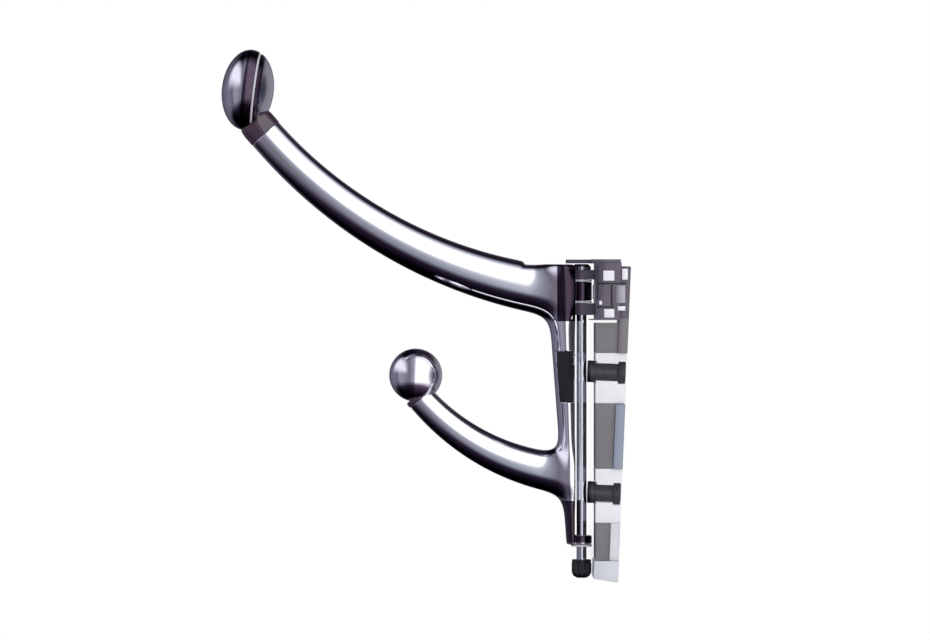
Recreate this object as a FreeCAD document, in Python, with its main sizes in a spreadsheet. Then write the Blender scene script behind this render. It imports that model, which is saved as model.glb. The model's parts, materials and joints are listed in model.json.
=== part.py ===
import FreeCAD, Part
import math
import os
import re

import Sketcher

# A hat-and-coat hook that swings left and right on a vertical rod in a see-through wall bracket.
# Frame: the wall is the plane X = 0 and +X points into it. +Z is up. Y = 0 is the plane of symmetry.
# The origin lies on the wall, midway between the two wall-screw holes.
# The rod leans a little away from the wall towards its top. Everything round the rod is modelled in
# the rod frame: its Z axis is the rod's axis and its X axis points towards the wall.

DIMENSIONS = {
    # the rod and its running fits
    "rod_lean": 2.345,
    "rod_offset": 13.26,
    "rod_radius": 1.6,
    "rod_low_end": 45.0,
    "fit_gap": 0.05,
    "face_gap": 0.1,
    "swing_gap": 0.5,
    # wall plate
    "plate_depth": 3.0,
    "plate_half_width": 10.0,
    "plate_top": 53.2,
    # wall screws
    "hole_spacing": 38.6,
    "hole_radius": 2.1,
    "shank_radius": 2.75,
    "flange_radius": 3.5,
    "flange_depth": 2.5,
    "flange_stand": 0.7,
    "ferrule_depth": 2.6,
    "boss_upper_above": 6.4,
    "boss_upper_below": 9.6,
    "boss_lower_above": 8.2,
    "boss_lower_below": 9.0,
    "block_upper_high": 35.3,
    # channel behind the rod
    "channel_front": 2.6,
    "channel_wall": 1.5,
    "side_wall": 1.1,
    "side_gap": 0.1,
    "channel_half_width": 10.0,
    "housing_low": 36.0,
    "housing_front": 4.2,
    "housing_top": 53.8,
    "lid_depth": 1.1,
    "lid_tongue": 5.0,
    "lid_lap": 1.6,
    "relief_high": 32.0,
    # ears, knuckles and washers along the rod, all heights in the rod frame
    "ear_radius": 3.1,
    "knuckle_radius": 3.3,
    "bush_radius": 2.3,
    "washer_height": 0.6,
    "ear_low_base": 40.9,
    "ear_low_height": 4.0,
    "ear_middle_base": 37.2,
    "ear_middle_height": 3.8,
    "knuckle_top_height": 6.0,
    "knuckle_low_height": 2.8,
    "ear_top_height": 3.0,
    "cap_radius": 2.9,
    "cap_height": 1.9,
    "cap_roof": 0.7,
    "cap_chamfer": 0.8,
    "rod_chamfer": 0.3,
    # lock
    "ring_height": 0.8,
    "nut_radius": 3.1,
    "nut_height": 4.9,
    "nut_floor": 0.9,
    "nut_corner_out": 0.5,
    "nut_corner_low": 0.6,
    "grip_radius": 0.45,
    "grip_count": 12,
    # spine
    "spine_back": 2.1,
    "spine_back_half": 4.6,
    "spine_top": 53.5,
    "spine_top_front": 11.5,
    "spine_top_flank": 5.2,
    "spine_top_half": 8.6,
    "spine_low_front": 4.8,
    "spine_low_flank": 3.0,
    "spine_low_half": 5.6,
    "low_wall_lap": 0.5,
    "pad_front": 8.0,
    "pad_back": 2.7,
    "pad_inner": 4.2,
    "pad_low": 9.6,
    "pad_high": 25.4,
    # upper arm: an arc in the plane of symmetry
    "upper_bend": 149.9,
    "upper_centre_in": 4.43,
    "upper_centre_up": 193.54,
    "upper_tip_angle": 136.9,
    "upper_root_angle": 94.6,
    "upper_tip_radius": 5.6,
    "upper_root_radius": 8.2,
    # lower arm: an arc in the plane of symmetry
    "lower_bend": 71.6,
    "lower_centre_in": 0.36,
    "lower_centre_up": 57.62,
    "lower_tip_angle": 137.0,
    "lower_root_angle": 93.5,
    "lower_tip_radius": 4.5,
    "lower_root_radius": 6.7,
    # knob: two shells of an ellipsoid on a stud
    "knob_radius": 12.9,
    "knob_half_thick": 8.3,
    "knob_wall": 2.2,
    "knob_reach": 111.14,
    "knob_up": 104.8,
    "knob_tip": 5.0,
    "seam_offset": 2.6,
    "seam_width": 0.6,
    "seam_depth": 0.5,
    "seam_ring_depth": 1.6,
    "stud_radius": 2.5,
    "stud_in_arm": 8.0,
    "stud_in_knob": 11.5,
    "neck_radius": 5.0,
    "neck_height": 5.5,
    # ball
    "ball_radius": 8.5,
    "ball_reach": 53.74,
    "ball_up": 15.8,
    "ball_stud_radius": 2.0,
    "ball_stud_half": 6.0,
    # brake that holds the hook at its angle
    "brake_level": 44.6,
    "shoe_gap": 0.35,
    "shoe_depth": 3.2,
    "shoe_half_width": 3.0,
    "shoe_height": 4.6,
    "rim_depth": 1.05,
    "rim_side": 1.2,
    "rim_end": 0.7,
    "spring_radius": 1.3,
    "spring_wire": 0.3,
    "spring_length": 2.8,
    "spring_end_gap": 0.05,
    "bar_depth": 1.9,
    "bar_height": 6.2,
    # foot
    "foot_front": 7.8,
    "foot_low_front": 46.4,
    "foot_low_back": 47.3,
}

doc = FreeCAD.newDocument("swivel_wall_hook")
sheet = doc.addObject("Spreadsheet::Sheet", "dims")
for row, (alias, size) in enumerate(DIMENSIONS.items(), start=1):
    sheet.set("A%d" % row, alias)
    sheet.set("B%d" % row, str(size))
    sheet.setAlias("B%d" % row, alias)
doc.recompute()

SUBPARTS = []


def value(expression):
    """The number that an expression over the sheet's aliases has now."""
    result = sheet.evalExpression(expression)
    return float(getattr(result, "Value", result))


def bound(expression):
    """The same expression as an object outside the sheet has to write it."""
    return re.sub(r"[a-z_]+", lambda word: "dims." + word[0] if word[0] in DIMENSIONS else word[0],
                  expression)


ROD_FRAME = FreeCAD.Placement(
    FreeCAD.Vector(-value("rod_offset"), 0, 0),
    FreeCAD.Rotation(FreeCAD.Vector(0, 1, 0), -value("rod_lean")),
)
WALL_FRAME = FreeCAD.Placement()


def subpart(feature, label, placement=WALL_FRAME):
    """Names a finished object as one piece of the assembly and puts it in its frame."""
    feature.Label = label
    feature.Placement = placement.multiply(feature.Placement)
    SUBPARTS.append(feature)
    return feature


def cylinder(name, radius, base, height, x="0", y="0"):
    """An upright cylinder whose sizes and place are bound to the sheet."""
    solid = doc.addObject("Part::Cylinder", name)
    solid.setExpression("Radius", bound(radius))
    solid.setExpression("Height", bound(height))
    solid.setExpression("Placement.Base.x", bound(x))
    solid.setExpression("Placement.Base.y", bound(y))
    solid.setExpression("Placement.Base.z", bound(base))
    return solid


def lying_cylinder(name, radius, start, length, z="0"):
    """A cylinder along +X whose sizes and place are bound to the sheet."""
    solid = doc.addObject("Part::Cylinder", name)
    solid.Placement = FreeCAD.Placement(
        FreeCAD.Vector(0, 0, 0), FreeCAD.Rotation(FreeCAD.Vector(0, 1, 0), 90)
    )
    solid.setExpression("Radius", bound(radius))
    solid.setExpression("Height", bound(length))
    solid.setExpression("Placement.Base.x", bound(start))
    solid.setExpression("Placement.Base.z", bound(z))
    return solid


def block(name, x, half_width, z, length, height):
    """A box centred on Y = 0 whose sizes and place are bound to the sheet."""
    solid = doc.addObject("Part::Box", name)
    solid.setExpression("Length", bound(length))
    solid.setExpression("Width", bound("2 * (%s)" % half_width))
    solid.setExpression("Height", bound(height))
    solid.setExpression("Placement.Base.x", bound(x))
    solid.setExpression("Placement.Base.y", bound("-(%s)" % half_width))
    solid.setExpression("Placement.Base.z", bound(z))
    return solid


def cut(name, base, tool):
    """One solid less another."""
    feature = doc.addObject("Part::Cut", name)
    feature.Base = base
    feature.Tool = tool
    return feature


def fuse(name, pieces):
    """Several overlapping solids joined into one."""
    feature = doc.addObject("Part::MultiFuse", name)
    feature.Shapes = pieces
    feature.Refine = True
    return feature


def common(name, first, second):
    """The space that two solids share."""
    feature = doc.addObject("Part::MultiCommon", name)
    feature.Shapes = [first, second]
    return feature


def origin_plane(body, role):
    """One of a body's own origin planes."""
    return next(f for f in body.Origin.OriginFeatures if f.Role == role)


def sketch_on(body, name, role="XY_Plane", offset=WALL_FRAME):
    """A sketch on a body's own origin plane, moved and turned by an offset."""
    sketch = body.newObject("Sketcher::SketchObject", name)
    sketch.AttachmentSupport = [(origin_plane(body, role), "")]
    sketch.MapMode = "FlatFace"
    sketch.AttachmentOffset = offset
    return sketch


def pin_point(sketch, geometry, point, axis, expression):
    """Ties one coordinate of a sketch point to an expression over the sheet."""
    size = value(expression)
    if abs(size) < 1e-9:
        line = -2 if axis == "X" else -1
        sketch.addConstraint(Sketcher.Constraint("PointOnObject", geometry, point, line))
        return
    kind = "Distance" + axis
    ends = (-1, 1, geometry, point) if size > 0 else (geometry, point, -1, 1)
    index = sketch.addConstraint(Sketcher.Constraint(kind, *ends, abs(size)))
    sign = "" if size > 0 else "-"
    sketch.setExpression("Constraints[%d]" % index, bound("%s(%s)" % (sign, expression)))


def outline(sketch, corners):
    """A closed outline. Each corner is a pair of expressions, or three when an arc reaches it: the
    third is then a pair of expressions for a point that the arc goes through."""
    points = [FreeCAD.Vector(value(c[0]), value(c[1]), 0) for c in corners]
    count = len(corners)
    for i in range(count):
        following = corners[(i + 1) % count]
        start, end = points[i], points[(i + 1) % count]
        if len(following) == 3:
            middle = FreeCAD.Vector(value(following[2][0]), value(following[2][1]), 0)
            sketch.addGeometry(Part.ArcOfCircle(start, middle, end))
        else:
            sketch.addGeometry(Part.LineSegment(start, end))
    for i in range(count):
        arc = sketch.Geometry[i]
        is_arc = isinstance(arc, Part.ArcOfCircle)
        turned = is_arc and (arc.StartPoint - points[i]).Length > 1e-6
        first, last = (2, 1) if turned else (1, 2)
        pin_point(sketch, i, first, "X", corners[i][0])
        pin_point(sketch, i, first, "Y", corners[i][1])
        following = corners[(i + 1) % count]
        pin_point(sketch, i, last, "X", following[0])
        pin_point(sketch, i, last, "Y", following[1])
        if is_arc:
            middle = following[2]
            through = FreeCAD.Vector(value(middle[0]), value(middle[1]), 0)
            ride = sketch.addGeometry(Part.Point(through), True)
            pin_point(sketch, ride, 1, "X", middle[0])
            pin_point(sketch, ride, 1, "Y", middle[1])
            sketch.addConstraint(Sketcher.Constraint("PointOnObject", ride, 1, i))
    return sketch


def new_body(name):
    """An empty PartDesign body."""
    return doc.addObject("PartDesign::Body", name)


def pad(body, sketch, name, length, symmetric=False):
    """Material added along a sketch's normal."""
    feature = body.newObject("PartDesign::Pad", name)
    feature.Profile = sketch
    feature.setExpression("Length", bound(length))
    feature.Midplane = symmetric
    return feature


def volume_of(body):
    """The body's volume once everything is up to date."""
    doc.recompute()
    return body.Shape.Volume


def pocket(body, sketch, name, length, symmetric=False, backwards=False):
    """Material taken away along a sketch's normal. It raises if nothing was taken."""
    before = volume_of(body)
    feature = body.newObject("PartDesign::Pocket", name)
    feature.Profile = sketch
    feature.setExpression("Length", bound(length))
    feature.Midplane = symmetric
    feature.Reversed = backwards
    if volume_of(body) >= before - 1e-3:
        raise RuntimeError(name + " takes nothing away")
    return feature


def circle(sketch, radius, x="0", y="0"):
    """A circle in a sketch with its radius and centre bound to the sheet."""
    centre = FreeCAD.Vector(value(x), value(y), 0)
    index = sketch.addGeometry(Part.Circle(centre, FreeCAD.Vector(0, 0, 1), value(radius)))
    pin_point(sketch, index, 3, "X", x)
    pin_point(sketch, index, 3, "Y", y)
    size = sketch.addConstraint(Sketcher.Constraint("Radius", index, value(radius)))
    sketch.setExpression("Constraints[%d]" % size, bound(radius))
    return sketch


def revolved(name, label, corners, placement):
    """A turned piece: its half outline, in radius and height, spun about the piece's own Z axis."""
    body = new_body(name)
    sketch = sketch_on(body, name + "_outline", "XZ_Plane")
    outline(sketch, corners)
    turn = body.newObject("PartDesign::Revolution", name + "_turned")
    turn.Profile = sketch
    turn.ReferenceAxis = (sketch, ["V_Axis"])
    turn.Angle = 360
    return subpart(body, label, placement)


def tube(name, label, outer, inner, base, height, frame=ROD_FRAME):
    """A plain sleeve or washer round its frame's Z axis."""
    corners = [
        (inner, base),
        (outer, base),
        (outer, "%s + %s" % (base, height)),
        (inner, "%s + %s" % (base, height)),
    ]
    return revolved(name, label, corners, frame)


# ---------------------------------------------------------------- heights along the rod
WASHER_MIDDLE = "(ear_middle_base + ear_middle_height + face_gap)"
KNUCKLE_TOP = "(%s + washer_height + face_gap)" % WASHER_MIDDLE
WASHER_TOP = "(%s + knuckle_top_height + face_gap)" % KNUCKLE_TOP
EAR_TOP = "(%s + washer_height + face_gap)" % WASHER_TOP
CAP = "(%s + ear_top_height)" % EAR_TOP
WASHER_LOW = "(-ear_low_base + ear_low_height + face_gap)"
KNUCKLE_LOW = "(%s + washer_height + face_gap)" % WASHER_LOW
SPINE_LOW = KNUCKLE_LOW
RING = "(-ear_low_base - face_gap - ring_height)"
NUT_TOP = "(-ear_low_base - 2 * face_gap - ring_height)"
RELIEF = "(knuckle_radius + swing_gap)"
LOW_WALL_HEIGHT = "(ear_low_base - relief_high + channel_wall)"


# ---------------------------------------------------------------- wall plate and bosses
LEAN = "tan(rod_lean * 1deg)"
CHANNEL_BACK = "(channel_front + channel_wall)"
CHANNEL_LOW = "(-ear_low_base + rod_offset * %s)" % LEAN
FILL_HALF = "(channel_half_width - side_wall - side_gap)"
ARM_GROWTH = 1.3
ARM_SECTIONS = 7


def slanted(level, x):
    """The height at x of a plane square to the rod that meets the wall at a level."""
    return "%s + (%s) * %s" % (level, x, LEAN)


def front_at(height, slack="0"):
    """Where the channel's inner front face lies at a height, less a slack."""
    return "(-rod_offset - (%s) * %s + %s + %s)" % (height, LEAN, CHANNEL_BACK, slack)


class Boss:
    """Where one boss lies: its hole's height and its two ends."""

    def __init__(self, side, name):
        self.hole = "(%s * hole_spacing / 2)" % side
        self.low = "(%s - boss_%s_below)" % (self.hole, name)
        self.high = "(%s + boss_%s_above)" % (self.hole, name)
        self.front = "(-rod_offset - %s * %s + channel_front - flange_stand)" % (self.hole, LEAN)


UPPER = Boss("1", "upper")
LOWER = Boss("-1", "lower")


def filler_outline(sketch, low, high, back):
    """A block in the channel: its ends are square to the rod, its front follows the channel."""
    front_low = front_at(low, "face_gap")
    front_high = front_at(high, "face_gap")
    return outline(sketch, [
        (front_low, slanted(low, front_low)),
        (back, slanted(low, back)),
        (back, slanted(high, back)),
        (front_high, slanted(high, front_high)),
    ])


def make_wall_plate():
    """The plate on the wall, with a window for each boss."""
    body = new_body("WallPlate")
    face = sketch_on(body, "wall_plate_face", "YZ_Plane")
    half = "plate_half_width"
    outline(face, [("-" + half, CHANNEL_LOW), (half, CHANNEL_LOW), (half, "plate_top"),
                   ("-" + half, "plate_top")])
    feature = pad(body, face, "wall_plate_pad", "plate_depth")
    feature.Reversed = True
    window_half = "(channel_half_width - side_wall)"
    for number, boss in enumerate((LOWER, UPPER)):
        window = sketch_on(body, "boss_window_%d" % number, "YZ_Plane")
        low = slanted(boss.low, "-plate_depth") + " - face_gap"
        high = boss.high + " + face_gap"
        outline(window, [("-" + window_half, low), (window_half, low), (window_half, high),
                         ("-" + window_half, high)])
        pocket(body, window, "boss_window_cut_%d" % number, "plate_depth * 3", symmetric=True)
    return subpart(body, "wall_plate")


def low_wall_room(name):
    """The space that the wall behind the lowest ear takes out of a piece in the channel."""
    room = block(name + "_low_room", "channel_front", "spine_back_half + low_wall_lap + face_gap",
                 "-ear_low_base - 1", "%s - channel_front + channel_wall + face_gap" % RELIEF,
                 "%s + 1 + face_gap" % LOW_WALL_HEIGHT)
    moved = doc.addObject("Part::Compound", name + "_low_room_placed")
    moved.Links = [room]
    moved.Placement = ROD_FRAME
    return moved


def sleeve_room(name, boss):
    """Straight cuts across a boss that leave the sleeve, its flange and its ferrule free."""
    across = "2 * channel_half_width"
    cuts = []
    for part, radius, start, length in (
        ("shank", "(shank_radius + fit_gap)", "-2 * rod_offset", "3 * rod_offset"),
        ("flange", "(flange_radius + fit_gap)", "-2 * rod_offset",
         "2 * rod_offset + %s + flange_depth + face_gap" % boss.front),
        ("ferrule", "(flange_radius + fit_gap)", "-ferrule_depth - face_gap", "rod_offset"),
    ):
        cuts.append(block("%s_%s_room" % (name, part), start, across,
                          "%s - %s" % (boss.hole, radius), length, "2 * " + radius))
    return cuts


def make_boss_half(name, label, boss, side):
    """The white block above (side 1) or below (side -1) one sleeve, which clamps the sleeve."""
    body = new_body(name)
    sketch = sketch_on(body, name + "_side", "XZ_Plane")
    filler_outline(sketch, boss.low, boss.high, "0")
    pad(body, sketch, name + "_pad", "2 * " + FILL_HALF, symmetric=True)
    base = boss.hole + (" - 2 * rod_offset" if side > 0 else "")
    other_half = block(name + "_other_half", "-2 * rod_offset", "2 * channel_half_width", base,
                       "3 * rod_offset", "2 * rod_offset")
    tools = sleeve_room(name, boss) + [other_half, low_wall_room(name)]
    return subpart(cut(name + "_shaped", body, fuse(name + "_tools", tools)), label)


def across_the_wall(boss):
    """A frame at a wall screw whose Z axis points from the wall towards the hook."""
    return FreeCAD.Placement(FreeCAD.Vector(0, 0, value(boss.hole)),
                             FreeCAD.Rotation(FreeCAD.Vector(0, 1, 0), -90))


def make_sleeve(name, label, boss):
    """A flanged sleeve through the channel wall and the boss. The wall screw's head bears on it."""
    front = "(-%s)" % boss.front
    corners = [
        ("hole_radius", "0"),
        ("shank_radius", "0"),
        ("shank_radius", "%s - flange_depth" % front),
        ("flange_radius", "%s - flange_depth" % front),
        ("flange_radius", front),
        ("hole_radius", front),
    ]
    return revolved(name, label, corners, across_the_wall(boss))


def make_ferrule(name, label, boss):
    """The ring that keys a sleeve's wall end into its boss."""
    return tube(name, label, "flange_radius", "shank_radius", "0", "ferrule_depth",
                across_the_wall(boss))


def make_block(name, label, low, high):
    """A grey spacer in the channel, with its back on the wall plate."""
    body = new_body(name)
    sketch = sketch_on(body, name + "_side", "XZ_Plane")
    filler_outline(sketch, low, high, "(-plate_depth)")
    pad(body, sketch, name + "_pad", "2 * " + FILL_HALF, symmetric=True)
    return subpart(cut(name + "_clear", body, low_wall_room(name)), label)


# ---------------------------------------------------------------- carrier
def make_carrier():
    """The clear channel behind the rod, its housing at the top and the three ears that hold the rod."""
    half = "channel_half_width"
    inner = "(channel_half_width - side_wall)"
    low = "(-ear_low_base)"
    channel = block("channel_outer", "channel_front", half, low,
                    "2 * rod_offset", "housing_low + ear_low_base")
    hollow = block("channel_hollow", "channel_front + channel_wall", inner, "%s - 1" % low,
                   "2 * rod_offset", "housing_low + ear_low_base + 1")
    housing = block("housing_outer", "housing_front", half, "housing_low",
                    "2 * rod_offset", "housing_top - housing_low")
    room = block("housing_room", "housing_front + channel_wall", inner, "housing_low + channel_wall",
                 "2 * rod_offset", "housing_top - housing_low")
    relief = block("low_relief", "0", "spine_back_half", "%s - 1" % low,
                   RELIEF, "ear_low_base - relief_high + 1")
    shell = cut("channel_opened", fuse("channel_and_housing", [
        cut("channel_cut", channel, hollow), cut("housing_cut", housing, room)]), relief)
    webs = []
    for name, base, height, reach in (
        ("ear_low", low, "ear_low_height", "channel_front + channel_wall"),
        ("ear_middle", "ear_middle_base", "ear_middle_height", "housing_front + channel_wall"),
        ("ear_top", EAR_TOP, "ear_top_height", "housing_front + channel_wall"),
    ):
        webs.append(cylinder(name + "_round", "ear_radius", base, height))
        webs.append(block(name + "_web", "0", "ear_radius", base, reach, height))
    webs.append(block("low_wall", RELIEF, "spine_back_half + low_wall_lap", low, "channel_wall",
                      LOW_WALL_HEIGHT))
    joined = fuse("carrier_joined", [shell] + webs)
    bore = cylinder("rod_bore", "rod_radius", "%s - 1" % low, "%s + 2 * ear_low_base" % CAP)
    window = block("shoe_window", RELIEF, "shoe_half_width + face_gap",
                   "brake_level - shoe_height / 2 - face_gap", "channel_front + channel_wall",
                   "shoe_height + 2 * face_gap")
    carrier = cut("carrier_bored", joined, fuse("rod_bore_and_window", [bore, window]))
    carrier.Placement = ROD_FRAME
    beyond = doc.addObject("Part::Box", "wall_side")
    beyond.setExpression("Length", bound("3 * rod_offset"))
    beyond.setExpression("Width", bound("4 * channel_half_width"))
    beyond.setExpression("Height", bound("4 * housing_top"))
    beyond.setExpression("Placement.Base.x", bound("-plate_depth"))
    beyond.setExpression("Placement.Base.y", bound("-2 * channel_half_width"))
    beyond.setExpression("Placement.Base.z", bound("-2 * housing_top"))
    trimmed = cut("carrier_trimmed", carrier, beyond)
    ways = [lying_cylinder("sleeve_way_%d" % i, "flange_radius + fit_gap", "-2 * rod_offset",
                           "2 * rod_offset", boss.hole) for i, boss in enumerate((LOWER, UPPER))]
    return subpart(cut("carrier_windows", trimmed, fuse("windows", ways)), "carrier")


# ---------------------------------------------------------------- rod and lock
def make_rod():
    """The steel pivot rod, from inside the lock nut to the cap over the top ear."""
    corners = [
        ("0", "-rod_low_end"),
        ("rod_radius - rod_chamfer", "-rod_low_end"),
        ("rod_radius", "-rod_low_end + rod_chamfer"),
        ("rod_radius", "%s + cap_height - cap_roof" % CAP),
        ("0", "%s + cap_height - cap_roof" % CAP),
    ]
    return revolved("PivotRod", "pivot_rod", corners, ROD_FRAME)


def make_rod_cap():
    """A domed cap pressed on the rod's upper end."""
    top = "%s + cap_height" % CAP
    corners = [
        ("rod_radius", CAP),
        ("cap_radius", CAP),
        ("cap_radius", "%s - cap_chamfer" % top),
        ("cap_radius - cap_chamfer", top),
        ("0", top),
        ("0", "%s - cap_roof" % top),
        ("rod_radius", "%s - cap_roof" % top),
    ]
    return revolved("RodCap", "rod_cap", corners, ROD_FRAME)


def make_lock_nut():
    """The black nut on the rod's threaded lower end, closed below, with grips round it."""
    low = "%s - nut_height" % NUT_TOP
    bore = "rod_radius + fit_gap"
    corners = [
        (bore, NUT_TOP),
        ("nut_radius", NUT_TOP),
        ("nut_radius", "%s + 3 * nut_corner_out" % low),
        ("nut_radius - nut_corner_out", "%s + nut_corner_low" % low),
        ("nut_radius - 3 * nut_corner_out", low),
        ("0", low),
        ("0", "%s + nut_floor" % low),
        (bore, "%s + nut_floor" % low),
    ]
    nut = revolved("LockNut", "lock_nut", corners, ROD_FRAME)
    grip = sketch_on(nut, "grip_outline", "XY_Plane",
                     FreeCAD.Placement(FreeCAD.Vector(0, 0, value(NUT_TOP)), FreeCAD.Rotation()))
    circle(grip, "grip_radius", "nut_radius + grip_radius / 2", "0")
    cut_one = pocket(nut, grip, "grip_cut", "nut_height")
    ring = nut.newObject("PartDesign::PolarPattern", "grip_ring")
    ring.Originals = [cut_one]
    ring.Axis = (grip, ["N_Axis"])
    ring.Angle = 360
    ring.Occurrences = int(value("grip_count"))
    nut.Tip = ring
    return nut


# ---------------------------------------------------------------- hook casting
def rod_offset_at(height):
    """The rod frame moved up the rod."""
    return ROD_FRAME.multiply(FreeCAD.Placement(FreeCAD.Vector(0, 0, value(height)),
                                                FreeCAD.Rotation()))


def spine_section(body, name, height, front, flank, half):
    """The spine's outline across the rod: flat back, slanted flanks and a rounded front."""
    sketch = sketch_on(body, name, "XY_Plane", rod_offset_at(height))
    outline(sketch, [
        ("-spine_back", "-spine_back_half"),
        ("-spine_back", "spine_back_half"),
        ("-" + flank, half),
        ("-" + flank, "-" + half, ("-" + front, "0")),
    ])
    return sketch


def arm_sections(body, name, arm):
    """Circles square to an arm's arc, growing from its tip to its root."""
    tip_angle, root_angle = value(arm + "_tip_angle"), value(arm + "_root_angle")
    sections = []
    for i in range(ARM_SECTIONS):
        share = i / (ARM_SECTIONS - 1)
        angle = math.radians(tip_angle + (root_angle - tip_angle) * share)
        x = value(arm + "_centre_in - rod_offset") + value(arm + "_bend") * math.cos(angle)
        z = value(arm + "_centre_up") - value(arm + "_bend") * math.sin(angle)
        tangent = FreeCAD.Vector(math.sin(angle), 0, math.cos(angle))
        offset = FreeCAD.Placement(FreeCAD.Vector(x, 0, z),
                                   FreeCAD.Rotation(FreeCAD.Vector(0, 0, 1), tangent))
        sketch = sketch_on(body, "%s_section_%d" % (name, i), "XY_Plane", offset)
        circle(sketch, "{0}_tip_radius + ({0}_root_radius - {0}_tip_radius) * {1} ^ {2}".format(
            arm, round(share, 6), ARM_GROWTH))
        sections.append(sketch)
    return sections


def loft(body, name, sections):
    """Material added through a row of sections."""
    feature = body.newObject("PartDesign::AdditiveLoft", name)
    feature.Profile = sections[0]
    feature.Sections = sections[1:]
    feature.Ruled = False
    return feature


def make_casting():
    """Spine, arms and knuckles in one casting."""
    body = new_body("HookCasting")
    low = spine_section(body, "spine_low_section", SPINE_LOW, "spine_low_front", "spine_low_flank",
                        "spine_low_half")
    top = spine_section(body, "spine_top_section", "spine_top", "spine_top_front",
                        "spine_top_flank", "spine_top_half")
    loft(body, "spine", [low, top])
    loft(body, "upper_arm", arm_sections(body, "upper_arm", "upper"))
    loft(body, "lower_arm", arm_sections(body, "lower_arm", "lower"))
    for name, base, height in (("knuckle_top", KNUCKLE_TOP, "knuckle_top_height"),
                               ("knuckle_low", KNUCKLE_LOW, "knuckle_low_height")):
        sketch = sketch_on(body, name + "_round", "XY_Plane", rod_offset_at(base))
        circle(sketch, "knuckle_radius")
        pad(body, sketch, name, height)
        bore = sketch_on(body, name + "_bore_round", "XY_Plane", rod_offset_at(base))
        circle(bore, "bush_radius")
        pocket(body, bore, name + "_bore", height, backwards=True)
    reliefs = (
        ("relief_top", "%s + knuckle_top_height" % KNUCKLE_TOP, "2 * knuckle_top_height"),
        ("relief_middle", "ear_middle_base - swing_gap",
         "%s - ear_middle_base + swing_gap" % KNUCKLE_TOP),
    )
    for name, base, height in reliefs:
        sketch = sketch_on(body, name + "_round", "XY_Plane", rod_offset_at(base))
        circle(sketch, RELIEF)
        pocket(body, sketch, name, height, backwards=True)
    return body


def cylinder_fixed(name, radius, base, height):
    """An upright cylinder that gets a frame later, so its place isn't bound by an expression."""
    solid = doc.addObject("Part::Cylinder", name)
    solid.setExpression("Radius", bound(radius))
    solid.setExpression("Height", bound(height))
    solid.Placement.Base = FreeCAD.Vector(0, 0, value(base))
    return solid


def tip_frame(arm):
    """A frame at an arm's tip whose Z axis points out of the arm."""
    angle = math.radians(value(arm + "_tip_angle"))
    x = value(arm + "_centre_in - rod_offset") + value(arm + "_bend") * math.cos(angle)
    z = value(arm + "_centre_up") - value(arm + "_bend") * math.sin(angle)
    outwards = FreeCAD.Vector(-math.sin(angle), 0, -math.cos(angle))
    return FreeCAD.Placement(FreeCAD.Vector(x, 0, z),
                             FreeCAD.Rotation(FreeCAD.Vector(0, 0, 1), outwards))


def placed(feature, frame):
    """A feature put in a frame."""
    feature.Placement = frame.multiply(feature.Placement)
    return feature


def finish_casting(body):
    """The casting with its stud holes and the seats for the stop pads, and the two pads."""
    stud_hole = placed(cylinder_fixed("upper_stud_hole", "stud_radius", "-stud_in_arm",
                                      "stud_in_arm + 1"), tip_frame("upper"))
    ball_hole = placed(cylinder_fixed("lower_stud_hole", "ball_stud_radius", "-ball_stud_half",
                                      "ball_stud_half + 1"), tip_frame("lower"))
    seats = []
    for name, label, side in (("StopPadLeft", "stop_pad_left", 1),
                              ("StopPadRight", "stop_pad_right", -1)):
        seat = doc.addObject("Part::Box", name + "_seat")
        seat.setExpression("Length", bound("pad_front - pad_back"))
        seat.setExpression("Width", bound("channel_half_width"))
        seat.setExpression("Height", bound("pad_high - pad_low"))
        y = "pad_inner" if side > 0 else "-pad_inner - channel_half_width"
        corner = FreeCAD.Vector(value("-pad_front"), value(y), value("pad_low"))
        seat.Placement = ROD_FRAME.multiply(FreeCAD.Placement(corner, FreeCAD.Rotation()))
        subpart(common(name, body, seat), label)
        seats.append(seat)
    holes = fuse("casting_holes", [stud_hole, ball_hole] + seats)
    return subpart(cut("casting_finished", body, holes), "hook_casting")


# ---------------------------------------------------------------- knob and ball
KNOB_FRAME = FreeCAD.Placement(
    FreeCAD.Vector(value("-rod_offset - knob_reach"), 0, value("knob_up")),
    FreeCAD.Rotation(FreeCAD.Vector(0, 1, 0), -90 + value("knob_tip")),
)


def ellipsoid(name, radius, half_thick):
    """A flattened ball round the knob frame's origin, flat along its Z axis."""
    solid = doc.addObject("Part::Ellipsoid", name)
    solid.setExpression("Radius1", bound(half_thick))
    solid.setExpression("Radius2", bound(radius))
    solid.setExpression("Radius3", bound(radius))
    return solid


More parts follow.
